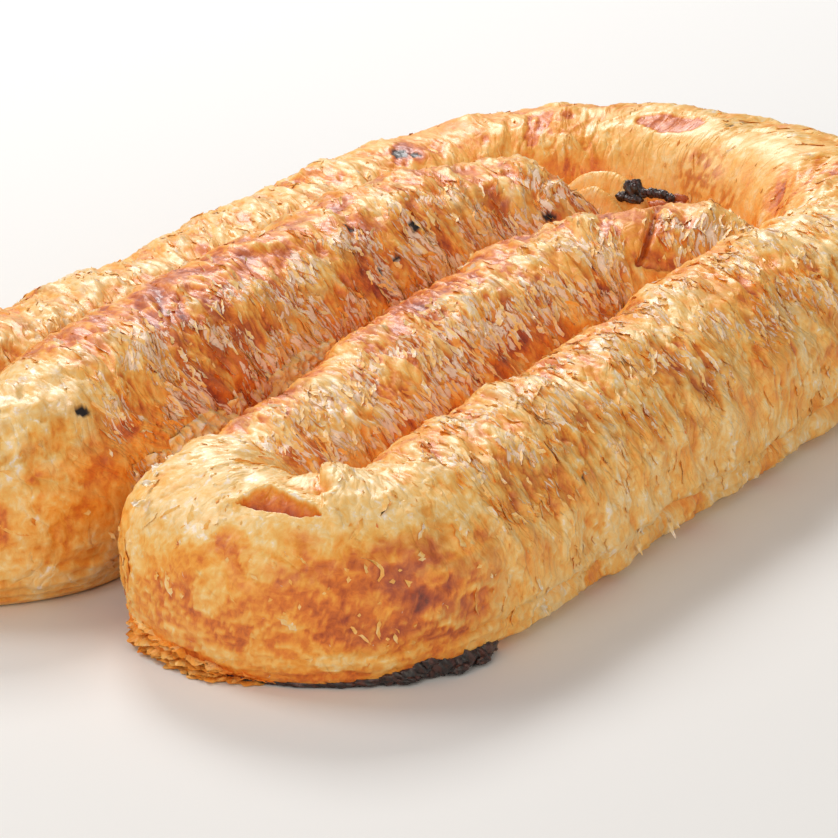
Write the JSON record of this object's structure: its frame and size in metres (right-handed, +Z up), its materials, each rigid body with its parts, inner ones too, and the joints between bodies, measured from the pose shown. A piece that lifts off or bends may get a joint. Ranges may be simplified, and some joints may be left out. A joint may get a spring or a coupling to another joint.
{
  "type": "rolled borek",
  "caption": "Baked rope of filled flaky dough laid in a flat coil of touching limbs under a wide bow, with burnt filling at its foot and in its hollow.",
  "frame": {"origin": "middle of the outline, at the height of the table that the pastry rests on", "axes": "+Z up, +Y along the limbs towards the wide bow, +X across the limbs"},
  "size_m": [0.186, 0.341, 0.0488],
  "materials": {
    "crust": "baked flaky dough, golden brown and slightly glossy on top, pale cream at the sides",
    "burnt_filling": "charred, knobbly and partly glossy"
  },
  "bodies": {
    "root": {"pastry_roll": "crust", "burnt_filling_foot": "burnt_filling", "burnt_filling_hollow": "burnt_filling"}
  },
  "joints": []
}
